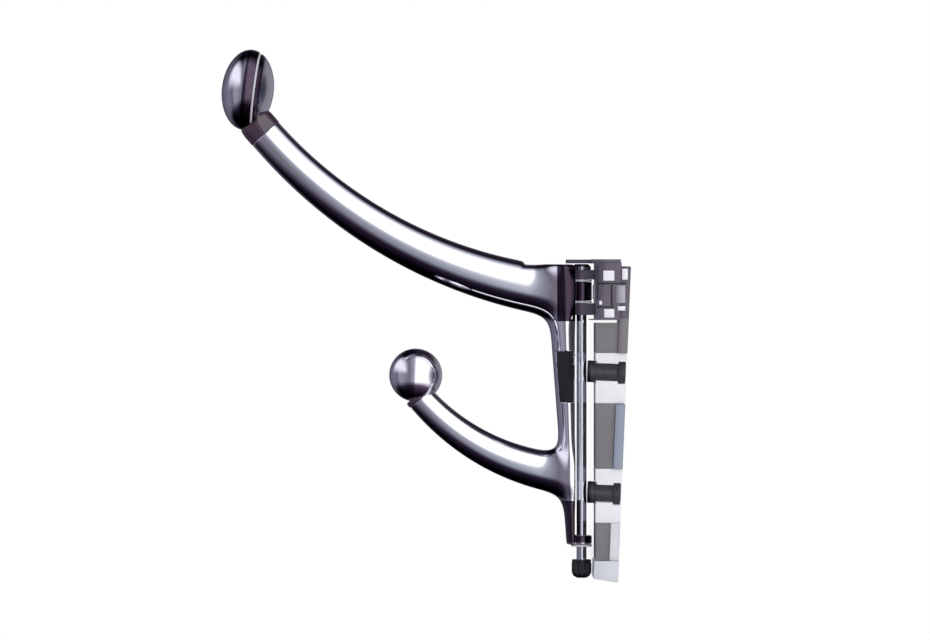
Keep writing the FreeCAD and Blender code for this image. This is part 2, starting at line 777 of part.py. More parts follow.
def make_knob():
    """The knob's two shells, the ring in its seam, the stud that holds it and the ring at its neck."""
    outer = ellipsoid("knob_outer", "knob_radius", "knob_half_thick")
    inner = ellipsoid("knob_inner", "knob_radius - knob_wall", "knob_half_thick - knob_wall")
    shell = cut("knob_shell", outer, inner)
    shell.Placement = KNOB_FRAME
    way = placed(cylinder_fixed("knob_stud_way", "stud_radius", "0", "stud_in_knob"),
                 tip_frame("upper"))
    halves = (("KnobFront", "knob_front", "-seam_offset + seam_width / 2"),
              ("KnobBack", "knob_back", "-seam_offset - seam_width / 2 - 2 * knob_radius"))
    for name, label, base in halves:
        side = doc.addObject("Part::Cylinder", name + "_side")
        side.setExpression("Radius", bound("2 * knob_radius"))
        side.setExpression("Height", bound("2 * knob_radius"))
        side.Placement = KNOB_FRAME.multiply(
            FreeCAD.Placement(FreeCAD.Vector(0, 0, value(base)), FreeCAD.Rotation()))
        half = common(name + "_half", shell, side)
        subpart(cut(name, half, way), label)
    rim = "knob_radius * sqrt(1 - (seam_offset / knob_half_thick) ^ 2) - seam_depth"
    ring = tube("KnobRing", "knob_ring", rim, "(%s) - seam_ring_depth" % rim,
                "(-seam_offset - seam_width / 2)", "seam_width", KNOB_FRAME)
    SUBPARTS.remove(ring)
    ring.Label = "knob_ring_whole"
    subpart(cut("KnobRingCut", ring, way), "knob_ring")
    stud = placed(cylinder_fixed("KnobStud", "stud_radius", "-stud_in_arm",
                                 "stud_in_arm + stud_in_knob"), tip_frame("upper"))
    subpart(stud, "knob_stud")
    neck = placed(cylinder_fixed("neck_outer", "neck_radius", "0", "neck_height"),
                  tip_frame("upper"))
    solid_knob = ellipsoid("knob_space", "knob_radius", "knob_half_thick")
    solid_knob.Placement = KNOB_FRAME
    neck_way = placed(cylinder_fixed("neck_way", "stud_radius + fit_gap", "-1", "neck_height + 2"),
                      tip_frame("upper"))
    subpart(cut("NeckRing", neck, fuse("neck_tools", [solid_knob, neck_way])), "neck_ring")


def make_ball(casting):
    """The ball at the lower arm's tip, seated on the arm, and its stud."""
    sphere = doc.addObject("Part::Sphere", "ball_whole")
    sphere.setExpression("Radius", bound("ball_radius"))
    sphere.setExpression("Placement.Base.x", bound("-rod_offset - ball_reach"))
    sphere.setExpression("Placement.Base.z", bound("ball_up"))
    stud = placed(cylinder_fixed("BallStud", "ball_stud_radius", "-ball_stud_half",
                                 "2 * ball_stud_half"), tip_frame("lower"))
    subpart(stud, "ball_stud")
    subpart(cut("LowerBall", sphere, fuse("ball_seat", [casting, stud])), "lower_ball")


# ---------------------------------------------------------------- brake, lid and foot
def in_rod_frame(feature, label):
    """A piece whose solids are modelled in the rod frame's own axes."""
    return subpart(feature, label, ROD_FRAME)


def make_brake():
    """A shoe behind the top knuckle, the spring that pushes it and the bar that backs the spring."""
    start = "(knuckle_radius + shoe_gap)"
    shoe = block("shoe_solid", start, "shoe_half_width", "brake_level - shoe_height / 2",
                 "shoe_depth", "shoe_height")
    rim = block("shoe_rim", start + " + shoe_depth - rim_depth", "shoe_half_width + rim_side",
                "brake_level - shoe_height / 2 - rim_end", "rim_depth", "shoe_height + 2 * rim_end")
    in_rod_frame(fuse("BrakeShoe", [shoe, rim]), "brake_shoe")
    bar_start = start + " + shoe_depth + spring_length"
    in_rod_frame(cut("BrakeBar", block("bar_solid", bar_start, FILL_HALF,
                                       "brake_level - bar_height / 2", "bar_depth", "bar_height"),
                     block("bar_slot", bar_start + " + bar_depth / 2", "shoe_half_width",
                           "brake_level - bar_height / 4", "bar_depth", "bar_height / 2")),
                 "brake_bar")
    turns = value("spring_length / (3 * spring_wire)")
    pitch = value("spring_length - 2 * spring_wire - 2 * spring_end_gap") / turns
    helix = Part.makeHelix(pitch, pitch * turns, value("spring_radius"))
    wire_section = Part.Wire(Part.makeCircle(value("spring_wire"),
                                             FreeCAD.Vector(value("spring_radius"), 0, 0),
                                             FreeCAD.Vector(0, 1, 0)))
    coil = Part.Wire(helix).makePipeShell([wire_section], True, True)
    spring = doc.addObject("Part::Feature", "BrakeSpring")
    spring.Shape = coil
    along = FreeCAD.Vector(value(start + " + shoe_depth + spring_wire + spring_end_gap"), 0,
                           value("brake_level"))
    spring.Placement = FreeCAD.Placement(along, FreeCAD.Rotation(FreeCAD.Vector(0, 1, 0), 90))
    in_rod_frame(spring, "brake_spring")


def make_lid():
    """The lid over the housing, with a tongue over the rod's cap."""
    level = "housing_top"
    plate = block("lid_plate", "housing_front - lid_lap", "channel_half_width", level,
                  "rod_offset - housing_front + lid_lap - 1", "lid_depth")
    tongue = block("lid_tongue_solid", "-lid_tongue", "spine_back_half", level,
                   "lid_tongue + housing_front", "lid_depth")
    in_rod_frame(fuse("HousingLid", [plate, tongue]), "housing_lid")


def make_foot():
    """The clear foot behind the lock nut."""
    body = new_body("FootBlock")
    sketch = sketch_on(body, "foot_side", "XZ_Plane")
    level = "%s - face_gap" % CHANNEL_LOW
    outline(sketch, [
        ("-foot_front", slanted(level, "-foot_front")),
        ("-foot_front", "-foot_low_front"),
        ("0", "-foot_low_back"),
        ("0", level),
    ])
    pad(body, sketch, "foot_pad", "2 * channel_half_width", symmetric=True)
    return subpart(body, "foot_block")


def make_all():
    """Every piece of the assembly, from the wall outwards."""
    make_wall_plate()
    make_carrier()
    for word, boss in (("upper", UPPER), ("lower", LOWER)):
        for end, side in (("high", 1), ("low", -1)):
            make_boss_half("Boss" + word.title() + end.title(), "boss_%s_%s" % (word, end), boss, side)
        make_sleeve("Sleeve" + word.title(), "sleeve_" + word, boss)
        make_ferrule("Ferrule" + word.title(), "ferrule_" + word, boss)
    make_block("BlockLower", "block_lower", CHANNEL_LOW, LOWER.low + " - face_gap")
    make_block("BlockMiddle", "block_middle", LOWER.high + " + face_gap", UPPER.low + " - face_gap")
    make_block("BlockUpper", "block_upper", UPPER.high + " + face_gap", "block_upper_high")
    make_brake()
    make_lid()
    make_foot()
    make_rod()
    make_rod_cap()
    casting = make_casting()
    finish_casting(casting)
    make_knob()
    make_ball(casting)
    for word, base in (("top", KNUCKLE_TOP), ("low", KNUCKLE_LOW)):
        tube("Bush" + word.title(), "upper_bush" if word == "top" else "lower_bush", "bush_radius",
             "rod_radius + fit_gap", base, "knuckle_%s_height" % word)
    for label, base in (("washer_top", WASHER_TOP), ("washer_middle", WASHER_MIDDLE),
                        ("washer_bottom", WASHER_LOW)):
        tube(label.title().replace("_", ""), label, "knuckle_radius", "rod_radius + fit_gap",
             base, "washer_height")
    tube("LockRing", "lock_ring", "nut_radius", "rod_radius + fit_gap", RING, "ring_height")
    make_lock_nut()


make_all()
doc.recompute()

for feature in doc.Objects:
    if any(word in feature.State for word in ("Invalid", "Error")):
        raise RuntimeError("%s failed: %s" % (feature.Label, feature.State))
for feature in SUBPARTS:
    if feature.Shape.isNull() or not feature.Shape.isValid():
        raise RuntimeError(feature.Label + " has no valid shape")

os.makedirs("parts", exist_ok=True)
for feature in SUBPARTS:
    feature.Shape.exportStep("parts/%s.step" % feature.Label)
    print(feature.Label, round(feature.Shape.Volume, 1), len(feature.Shape.Solids), "solid")
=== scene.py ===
# %% [markdown]
# # A swivelling hat-and-coat hook
#
# The object is a polished hook on a steel rod, held by a see-through bracket on the wall. The packed
# model gives every piece its place and its size. This script gives the pieces their finish, rebuilds
# the ones whose curves have to be smooth enough for a mirror polish, and adds the small details.
# Everything is in metres. The wall is the plane X = 0, the arms point towards -X and Z is up.

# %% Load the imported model
import json
import math

import bmesh
import bpy
import numpy as np
from mathutils import Matrix, Vector


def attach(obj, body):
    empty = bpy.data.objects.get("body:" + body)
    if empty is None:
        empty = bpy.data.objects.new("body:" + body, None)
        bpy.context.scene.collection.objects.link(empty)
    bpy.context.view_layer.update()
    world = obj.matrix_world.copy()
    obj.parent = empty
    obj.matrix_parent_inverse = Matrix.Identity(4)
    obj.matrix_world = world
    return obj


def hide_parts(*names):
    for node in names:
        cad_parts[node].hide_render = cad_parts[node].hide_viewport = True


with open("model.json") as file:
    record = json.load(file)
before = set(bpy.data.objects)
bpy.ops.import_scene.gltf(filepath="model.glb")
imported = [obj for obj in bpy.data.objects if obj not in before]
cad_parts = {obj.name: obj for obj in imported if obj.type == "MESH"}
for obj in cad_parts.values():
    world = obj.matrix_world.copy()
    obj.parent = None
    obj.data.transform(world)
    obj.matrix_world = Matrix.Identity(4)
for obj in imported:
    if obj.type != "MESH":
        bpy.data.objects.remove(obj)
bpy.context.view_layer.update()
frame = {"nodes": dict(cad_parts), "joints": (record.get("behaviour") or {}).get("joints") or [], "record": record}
nodes = frame["nodes"]
record = frame["record"]
MM = 0.001
print("pieces in the frame:", len(nodes))

# %% [markdown]
# ## The rod's own axes
#
# The rod leans away from the wall towards its top, and everything round it is square to it. So most
# places are easiest to give in the rod's axes: u towards the wall, v across and w up along the rod,
# all in millimetres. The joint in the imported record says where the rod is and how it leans.

# %% The rod frame
swivel = next(j for j in frame["joints"] if j["name"] == "hook_swivel")
ROD_POINT = Vector(swivel["pos_m"])
ROD_UP = Vector(swivel["axis"]).normalized()
ROD_BACK = Vector((0, 1, 0)).cross(ROD_UP)
ROD_AXES = Matrix((ROD_BACK, (0, 1, 0), ROD_UP)).transposed()
ROD_MATRIX = Matrix.Translation(ROD_POINT) @ ROD_AXES.to_4x4()
print("the rod leans by", round(math.degrees(math.asin(-ROD_UP.x)), 2), "degrees")

# %% [markdown]
# ## The camera
#
# The hook is seen exactly from its side, from far enough away that its lines hardly converge. The
# camera is rolled by the rod's lean, so that the rod stands upright in the picture.

# %% Camera
VIEW_WIDTH, VIEW_HEIGHT = 297.6, 204.8
ROD_FROM_LEFT, ROD_FROM_BELOW = 0.6253, 0.3261
LENS, SENSOR = 150.0, 36.0


def add_camera():
    """A long lens, level with the middle of the hook, rolled with the rod."""
    data = bpy.data.cameras.new("camera")
    data.lens = LENS
    data.sensor_width = SENSOR
    camera = bpy.data.objects.new("camera", data)
    bpy.context.scene.collection.objects.link(camera)
    across = (0.5 - ROD_FROM_LEFT) * VIEW_WIDTH * MM
    up = (0.5 - ROD_FROM_BELOW) * VIEW_HEIGHT * MM
    target = ROD_POINT + ROD_BACK * across + ROD_UP * up
    distance = VIEW_WIDTH * MM * LENS / SENSOR
    turn = Matrix((ROD_BACK, ROD_UP, (0, -1, 0))).transposed()
    camera.matrix_world = Matrix.Translation(target - Vector((0, distance, 0))) @ turn.to_4x4()
    bpy.context.scene.camera = camera
    return camera


camera = add_camera()
print("camera distance in mm:", round(-camera.location.y / MM))

# %% [markdown]
# ## Colours and nodes
#
# Colours are written as sRGB hex values and turned into linear ones in a single place. One small
# function adds a node, sets its properties and inputs, and links what feeds it.


# %% Colour and node helpers
def linear(colour):
    """An sRGB hex colour as the linear colour that Blender's sockets take."""
    channels = [int(colour[i:i + 2], 16) / 255 for i in (1, 3, 5)]
    straight = [c / 12.92 if c <= 0.04045 else ((c + 0.055) / 1.055) ** 2.4 for c in channels]
    return (*straight, 1.0)


def add_node(tree, kind, links=None, sockets=None, **settings):
    """Adds a node, sets its properties and its inputs' values, and links what feeds it."""
    node = tree.nodes.new(kind)
    for name, setting in settings.items():
        setattr(node, name, setting)
    for name, number in (sockets or {}).items():
        node.inputs[name].default_value = number
    for name, source in (links or {}).items():
        tree.links.new(source, node.inputs[name])
    return node


def ramp(tree, factor, stops):
    """A colour ramp over a factor from -1 to 1, from a list of places and hex colours."""
    spread = add_node(tree, "ShaderNodeMapRange", {"Value": factor}, {"From Min": -1.0})
    node = add_node(tree, "ShaderNodeValToRGB", {"Fac": spread.outputs[0]})
    elements = node.color_ramp.elements
    while len(elements) < len(stops):
        elements.new(0.5)
    for element, (place, colour) in zip(elements, stops):
        element.position = (place + 1) / 2
        element.color = linear(colour)
    return node.outputs["Color"]


def flat(tree, colour):
    """One hex colour as an output."""
    node = add_node(tree, "ShaderNodeRGB")
    node.outputs[0].default_value = linear(colour)
    return node.outputs[0]


def mix(tree, first, second, factor=1.0, blend="MULTIPLY"):
    """Two colours mixed. The factor is a number or an output."""
    links = {6: first, 7: second}
    sockets = {}
    if isinstance(factor, float):
        sockets[0] = factor
    else:
        links[0] = factor
    node = add_node(tree, "ShaderNodeMix", links, sockets, data_type="RGBA", blend_type=blend)
    return node.outputs[2]


def step(tree, source, start, end):
    """0 before start, 1 after end, smooth between."""
    node = add_node(tree, "ShaderNodeMapRange", {"Value": source},
                    {"From Min": start, "From Max": end}, interpolation_type="SMOOTHSTEP")
    return node.outputs[0]


def math_node(tree, operation, *values):
    """A maths node over outputs and numbers."""
    node = tree.nodes.new("ShaderNodeMath")
    node.operation = operation
    for i, part in enumerate(values):
        if isinstance(part, (int, float)):
            node.inputs[i].default_value = part
        else:
            tree.links.new(part, node.inputs[i])
    return node.outputs[0]


print("helpers ready")

# %% [markdown]
# ## Studio
#
# Polished metal has no colour of its own: it shows the room. The room here is white on the right of
# the camera, grey on its left with one lavender-white panel far out, and dark behind, below and
# straight above the backdrop. The edge between the white and the grey draws the line down the ball,
# and the dark backdrop draws the black outlines of the arms. Level with the hook, the room's side
# walls are lighter than the backdrop, so upright edges are grey instead of black.


# %% World
ROOM_LIGHT = 1.3
LAMP_SIZE, LAMP_WATTS = 0.5, 5.0
LAMP_PLACE, LAMP_AIM = (0.15, 0.25, 0.35), -0.02


def studio_world():
    """The studio seen by reflections, and a clean white ground seen by the camera."""
    world = bpy.data.worlds.new("studio")
    bpy.context.scene.world = world
    world.use_nodes = True
    tree = world.node_tree
    tree.nodes.clear()
    place = add_node(tree, "ShaderNodeTexCoord")
    split = add_node(tree, "ShaderNodeSeparateXYZ", {0: place.outputs["Generated"]})
    x, y, z = (split.outputs[i] for i in range(3))
    side = ramp(tree, x, [
        (-1.0, "#8b8a97"), (-0.45, "#67636e"), (-0.16, "#8a8f99"), (-0.06, "#aeb2bd"),
        (0.0, "#ffffff"), (0.8, "#ffffff"), (0.92, "#9a9aa6"), (1.0, "#55505c"),
    ])
    depth = ramp(tree, y, [
        (-1.0, "#ffffff"), (-0.25, "#ffffff"), (0.0, "#a9b0bb"), (0.22, "#55505e"),
        (0.34, "#17121a"), (0.8, "#241e2a"), (1.0, "#77737e"),
    ])
    height = ramp(tree, z, [
        (-1.0, "#1d1620"), (-0.88, "#2f2535"), (-0.7, "#54465b"), (-0.57, "#b4b1bb"),
        (-0.44, "#ffffff"), (1.0, "#ffffff"),
    ])
    level = math_node(tree, "MULTIPLY", step(tree, math_node(tree, "ABSOLUTE", z), 0.7, 0.3),
                      step(tree, y, 0.0, 0.2))
    beside = math_node(tree, "ADD", step(tree, x, -0.25, -0.5),
                       math_node(tree, "MULTIPLY", step(tree, x, 0.25, 0.5), 0.3))
    walls = math_node(tree, "MULTIPLY", level, beside)
    around = mix(tree, depth, flat(tree, "#c9c6d2"), walls, "MIX")
    room = mix(tree, mix(tree, side, around), height)
    panel = math_node(tree, "MULTIPLY", step(tree, x, -0.5, -0.8),
                      math_node(tree, "MULTIPLY", step(tree, z, 0.0, 0.4), step(tree, y, 0.6, 0.3)))
    lit = mix(tree, room, flat(tree, "#dedcea"), panel, "MIX")
    seen = add_node(tree, "ShaderNodeLightPath").outputs["Is Camera Ray"]
    shown = mix(tree, lit, flat(tree, "#ffffff"), seen, "MIX")
    excess = math_node(tree, "MULTIPLY", seen, ROOM_LIGHT - 1)
    strength = math_node(tree, "SUBTRACT", ROOM_LIGHT, excess)
    light = add_node(tree, "ShaderNodeBackground", {"Color": shown, "Strength": strength})
    add_node(tree, "ShaderNodeOutputWorld", {"Surface": light.outputs[0]})


def add_soft_light():
    """A large soft lamp beside the camera for the plastics. Mirrors don't show it."""
    data = bpy.data.lights.new("soft_front", "AREA")
    data.shape = "DISK"
    data.size = LAMP_SIZE
    data.energy = LAMP_WATTS
    lamp = bpy.data.objects.new("soft_front", data)
    lamp.visible_glossy = False
    place = camera.matrix_world @ Vector(LAMP_PLACE)
    aim = ROD_POINT + ROD_BACK * LAMP_AIM - place
    turn = aim.to_track_quat("-Z", "Y").to_matrix().to_4x4()
    lamp.matrix_world = Matrix.Translation(place) @ turn
    bpy.context.scene.collection.objects.link(lamp)


studio_world()
add_soft_light()
bpy.context.scene.view_settings.view_transform = "Standard"
print("studio ready")

# %% [markdown]
# ## Finishes
#
# Each piece gets the finish of its real material. Two noise patterns make them less perfect: a fine
# one breaks up the gloss, and a coarse one shifts the colour a little. Both are measured in
# millimetres on the object.


# %% Materials
def new_material(name, colour, roughness, metallic=0.0, alpha=1.0, specular=0.5, coat=0.0,
                 cloud=0.0, cloud_mm=6.0, gloss=0.02, gloss_mm=1.2, bump_mm=0.0, grain_mm=0.4):
    """A Principled material with a faint cloud in its colour, an uneven gloss and a fine relief."""
    material = bpy.data.materials.new(name)
    material.use_nodes = True
    tree = material.node_tree
    tree.nodes.clear()
    place = add_node(tree, "ShaderNodeTexCoord").outputs["Object"]
    shader = add_node(tree, "ShaderNodeBsdfPrincipled", None, {
        "Base Color": linear(colour), "Roughness": roughness, "Metallic": metallic, "Alpha": alpha,
        "Specular IOR Level": specular, "Coat Weight": coat, "Coat Roughness": 0.05,
    })
    add_node(tree, "ShaderNodeOutputMaterial", {"Surface": shader.outputs[0]})
    if gloss:
        fine = add_node(tree, "ShaderNodeTexNoise", {"Vector": place},
                        {"Scale": 1 / (gloss_mm * MM), "Detail": 3.0})
        uneven = add_node(tree, "ShaderNodeMapRange", {"Value": fine.outputs["Fac"]},
                          {"To Min": max(roughness - gloss, 0.0), "To Max": roughness + gloss})
        tree.links.new(uneven.outputs[0], shader.inputs["Roughness"])
    if cloud:
        coarse = add_node(tree, "ShaderNodeTexNoise", {"Vector": place},
                          {"Scale": 1 / (cloud_mm * MM), "Detail": 4.0})
        shift = add_node(tree, "ShaderNodeMapRange", {"Value": coarse.outputs["Fac"]},
                         {"To Min": 1 - cloud, "To Max": 1 + cloud})
        tinted = add_node(tree, "ShaderNodeHueSaturation", {"Value": shift.outputs[0]},
                          {"Color": linear(colour)})
        tree.links.new(tinted.outputs[0], shader.inputs["Base Color"])
    if bump_mm:
        grain = add_node(tree, "ShaderNodeTexNoise", {"Vector": place},
                         {"Scale": 1 / (grain_mm * MM), "Detail": 2.0})
        relief = add_node(tree, "ShaderNodeBump", {"Height": grain.outputs["Fac"]},
                          {"Strength": 0.6, "Distance": bump_mm * MM})
        tree.links.new(relief.outputs[0], shader.inputs["Normal"])
    return material


def zone(material, limits, colour=None, alpha=None):
    """Another colour or alpha inside a box that is given along the rod's axes."""
    tree = material.node_tree
    shader = next(n for n in tree.nodes if n.type == "BSDF_PRINCIPLED")
    place = next(n for n in tree.nodes if n.type == "TEX_COORD").outputs["Object"]
    mask = 1.0
    for axis, (low, high) in limits:
        reach = add_node(tree, "ShaderNodeVectorMath", {0: place}, {1: tuple(axis)},
                         operation="DOT_PRODUCT").outputs["Value"]
        start = ROD_POINT.dot(axis)
        above = math_node(tree, "GREATER_THAN", reach, start + low * MM)
        below = math_node(tree, "LESS_THAN", reach, start + high * MM)
        mask = math_node(tree, "MULTIPLY", mask, math_node(tree, "MULTIPLY", above, below))
    if colour:
        join_socket(tree, shader.inputs["Base Color"], mask, linear(colour), "RGBA", (6, 7, 2))
    if alpha is not None:
        join_socket(tree, shader.inputs["Alpha"], mask, alpha, "FLOAT", (2, 3, 0))


def join_socket(tree, socket, mask, new, kind, places):
    """Mixes a new value into a socket where the mask is 1, over whatever fed it before."""
    first, second, out = places
    node = add_node(tree, "ShaderNodeMix", {0: mask}, {second: new}, data_type=kind)
    if socket.is_linked:
        tree.links.new(socket.links[0].from_socket, node.inputs[first])
    else:
        node.inputs[first].default_value = socket.default_value
    tree.links.new(node.outputs[out], socket)


CHROME_TONE, SMOKED_TONE = "#f1eff5", "#51485a"
# hook, knob and ball: zinc casting, polished and chrome plated
CHROME = new_material("polished_chrome_plate", CHROME_TONE, 0.03, metallic=1.0, gloss=0.012)
# band round the knob: painted dark reflection, a dark metal colour laid on the chrome where it would mirror the
# dark room
PAINTED_DARK_REFLECTION = new_material("painted_dark_reflection_band", "#57495a", 0.08, metallic=1.0, cloud=0.25,
                           cloud_mm=3.0, gloss=0.03)
# pivot rod: ground steel
STEEL = new_material("ground_steel", "#c9ccd6", 0.12, metallic=1.0, cloud=0.04, gloss=0.04)
# channel walls and foot: clear polycarbonate
CLEAR = new_material("clear_polycarbonate", "#b9bfc9", 0.06, alpha=0.035, specular=0.8)
# the foot is thick and shows its own edges
CLEAR_THICK = new_material("clear_polycarbonate_thick", "#e2e5ec", 0.08, alpha=0.72, specular=0.8,
                           cloud=0.05, cloud_mm=4.0)
# wall plate: clear plate that takes the grey of what stands behind it
PLATE = new_material("clear_backing_plate", "#99a1b3", 0.12, alpha=0.9, cloud=0.1, cloud_mm=9.0)
# bosses: white acetal, faintly scuffed
WHITE = new_material("white_acetal", "#fbfbfd", 0.35, cloud=0.02, cloud_mm=3.0, gloss=0.06)
# spacer blocks: grey filled nylon
GREY = new_material("grey_filled_nylon", "#7a7778", 0.45, cloud=0.04, cloud_mm=5.0, bump_mm=0.01)
# sleeves, pads and nut: black nylon
BLACK = new_material("black_nylon", "#171318", 0.3, cloud=0.1, gloss=0.06, bump_mm=0.008)
# ring at the neck and seat of the ball: dark plum lacquer; on the neck collar the plum partly stands for a painted
# reflection of dark shade
PLUM_AND_PAINTED_REFLECTION = new_material("plum_lacquer_and_painted_reflection", "#43303f", 0.12, specular=0.8, coat=0.5, cloud=0.15)
# housing and lid: smoked plastic
SMOKE = new_material("smoked_plastic", SMOKED_TONE, 0.1, alpha=0.93, specular=0.8, cloud=0.3,
                     cloud_mm=2.5)
# bushes, washers and shoe: natural nylon
NYLON = new_material("natural_nylon", "#d6d5de", 0.4, cloud=0.03, gloss=0.05)
# stop pads: black rubber
RUBBER = new_material("black_rubber", "#1c161e", 0.42, cloud=0.1, gloss=0.05, bump_mm=0.01)
# small bright plates in the housing: white enamel
ENAMEL = new_material("white_enamel", "#f3f1f7", 0.15, specular=0.8, cloud=0.02)
# brake bar: nickel-plated steel
NICKEL = new_material("dull_nickel", "#a7a3ab", 0.3, metallic=1.0, cloud=0.08)

# the casting has the same chrome, with painted dark reflections on the cheeks beside the rod at its top
CHROME_WITH_PAINTED_REFLECTIONS = new_material("chrome_with_painted_dark_reflections", CHROME_TONE, 0.03, metallic=1.0, gloss=0.012)
zone(CHROME_WITH_PAINTED_REFLECTIONS, ((ROD_BACK, (-8.0, 3.0)), (ROD_UP, (35.2, 60.0))), "#463a49")
# its foot, beside the lowest ear, has the same painted dark reflection
zone(CHROME_WITH_PAINTED_REFLECTIONS, ((ROD_UP, (-35.5, -22.0)),), "#4a404d")
# the channel is clear, and its housing at the top is moulded in smoked plastic
zone(CLEAR, ((ROD_UP, (35.6, 60.0)),), SMOKED_TONE, 0.94)
# the plate is clear beside the bosses, milky at its foot and dark behind the housing
for low, high, colour, alpha in (
    (-46.0, -29.1, "#eceef3", 0.6), (-29.1, -11.6, None, 0.03), (8.8, 25.2, None, 0.03),
    (25.2, 36.0, "#7f797f", None), (36.0, 60.0, "#5d5563", None),
):
    zone(PLATE, ((ROD_UP, (low, high)),), colour, alpha)

SLOT_LOOKS = {
    "polished": CHROME, "clear": CLEAR, "white": WHITE, "grey": GREY, "dark": BLACK,
    "nylon": NYLON, "smoke": SMOKE, "steel": STEEL, "black_rubber": RUBBER,
}
SPECIAL_LOOKS = {"wall_plate": PLATE, "foot_block": CLEAR_THICK, "brake_bar": NICKEL}
slots = {row["node"]: row["material_slot"] for row in record["subparts"]}
body_of_node = {n: body for body, members in record["behaviour"]["bodies"].items() for n in members}


def look_of(name):
    """The finish of a CAD node."""
    return SPECIAL_LOOKS.get(name, SLOT_LOOKS[slots[name]])


for name, obj in nodes.items():
    obj.data.materials.clear()
    obj.data.materials.append(look_of(name))
print("finishes:", len(bpy.data.materials))

# %% [markdown]
# ## Mesh helpers
#
# New pieces are plain meshes in the frame's own coordinates. `new_piece` puts a mesh in the scene,
# ties it to the body that it moves with and hides the CAD node that it stands for.


# %% Mesh helpers
SHARP_EDGE = 0.5
TILE_DEPTH, TILE_ROUNDING = 0.8, 0.12


def new_piece(name, mesh, body, stands_for=(), materials=()):
    """A mesh as a piece of the object that moves with a body."""
    for material in materials:
        mesh.materials.append(material)
    obj = bpy.data.objects.new(name, mesh)
    bpy.context.scene.collection.objects.link(obj)
    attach(obj, body)
    if stands_for:
        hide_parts(*stands_for)
    return obj


def finish_mesh(bm, name, sharp_degrees=35):
    """The mesh of a bmesh, with outward normals and smooth shading up to an angle."""
    bmesh.ops.recalc_face_normals(bm, faces=bm.faces)
    mesh = bpy.data.meshes.new(name)
    bm.to_mesh(mesh)
    bm.free()
    mesh.shade_smooth()
    mesh.set_sharp_from_angle(angle=math.radians(sharp_degrees))
    return mesh


def lathe(name, profile, matrix, segments=128):
    """A closed outline of radii and heights in millimetres, spun about the matrix's Z axis."""
    bm = bmesh.new()
    turns = [2 * math.pi * i / segments for i in range(segments)]
    rings = []
    for radius, height in profile:
        if radius < 1e-6:
            rings.append([bm.verts.new(matrix @ Vector((0, 0, height * MM)))])
        else:
            rings.append([bm.verts.new(matrix @ Vector((radius * MM * math.cos(t),
                                                        radius * MM * math.sin(t), height * MM)))
                          for t in turns])
    closed = len(rings[0]) > 1
    pairs = list(zip(rings, rings[1:])) + ([(rings[-1], rings[0])] if closed else [])
    for first, second in pairs:
        for i in range(segments):
            j = (i + 1) % segments
            if len(first) == 1:
                bm.faces.new((first[0], second[i], second[j]))
            elif len(second) == 1:
                bm.faces.new((first[i], second[0], first[j]))
            else:
                bm.faces.new((first[i], second[i], second[j], first[j]))
    return finish_mesh(bm, name)


def soften(name, width_mm):
    """A CAD node's mesh with rounded edges, in place of the node."""
    bm = bmesh.new()
    bm.from_mesh(nodes[name].data)
    bmesh.ops.remove_doubles(bm, verts=bm.verts, dist=1e-6)
    bmesh.ops.dissolve_limit(bm, angle_limit=math.radians(0.5), verts=bm.verts, edges=bm.edges)
    edges = [e for e in bm.edges if len(e.link_faces) == 2 and e.calc_face_angle(0) > SHARP_EDGE]
    bmesh.ops.bevel(bm, geom=edges, offset=width_mm * MM, segments=2, profile=0.6,
                    affect="EDGES", clamp_overlap=True)
    mesh = finish_mesh(bm, name + "_soft", 40)
    return new_piece(name + "_soft", mesh, body_of_node[name], (name,), (look_of(name),))


def tile(name, u, w, outer, material, body, side):
    """A small flat plate on one side of the bracket, with rounded edges."""
    bm = bmesh.new()
    bmesh.ops.create_cube(bm, size=1.0)
    size = (u[1] - u[0], TILE_DEPTH, w[1] - w[0])
    middle = (sum(u) / 2, side * (outer - TILE_DEPTH / 2), sum(w) / 2)
    for vert in bm.verts:
        local = Vector([middle[i] + vert.co[i] * size[i] for i in range(3)]) * MM
        vert.co = ROD_MATRIX @ local
    bmesh.ops.bevel(bm, geom=bm.edges[:], offset=TILE_ROUNDING * MM, segments=2, profile=0.6,
                    affect="EDGES", clamp_overlap=True)
    return new_piece(name, finish_mesh(bm, name), body, (), (material,))


print("mesh helpers ready")

# %% [markdown]
# ## The casting as one smooth skin
#
# Spine, arms and knuckles are one casting, and its fillets flow into one another. A mirror polish
# shows every facet and every kink, so the skin is worked out from a distance formula: a tube round an
# arc for each arm, a rounded wedge for the spine, and a soft union where they meet. The surface is
# where that distance is zero. It is found on a coarse grid, evened out and moved exactly onto the
# surface, so that the mesh is as smooth as the formula.


# %% Distance formulas
NUDGE, LEAST_SLOPE = 0.01, 0.05
TURNS, EVENING_TURNS = 6, (1, 2, 3)
GRID_LOW, GRID_HIGH = np.array((-125.5, -9.9, -39.0)), np.array((-6.5, 9.9, 98.0))
CELL, QUICK_CELL = 0.62, 1.1


def soft_min(a, b, fillet):
    """The smaller of two distances, with a fillet where they are equal."""
    share = np.clip(fillet - np.abs(a - b), 0, None) / fillet
    return np.minimum(a, b) - share ** 3 * fillet / 6


def soft_max(a, b, edge):
    """The larger of two distances, with a rounded edge where they are equal."""
    return -soft_min(-a, -b, edge)


def arm_distance(p, centre, bend, tip, root, tip_radius, root_radius):
    """Distance to a tube round an arc in the plane of symmetry, which grows from tip to root."""
    x, z = p[..., 0] - centre[0], p[..., 2] - centre[1]
    angle = np.arctan2(-z, x)
    share = np.clip((tip - angle) / (tip - root), 0, 1)
    radius = tip_radius + (root_radius - tip_radius) * share ** 1.3
    on_arc = tip - share * (tip - root)
    across = np.hypot(x - bend * np.cos(on_arc), z + bend * np.sin(on_arc))
    tube = np.hypot(across, p[..., 1]) - radius
    past_tip = np.sin(angle - tip) * np.hypot(x, z)
    return soft_max(tube, past_tip, 0.8)


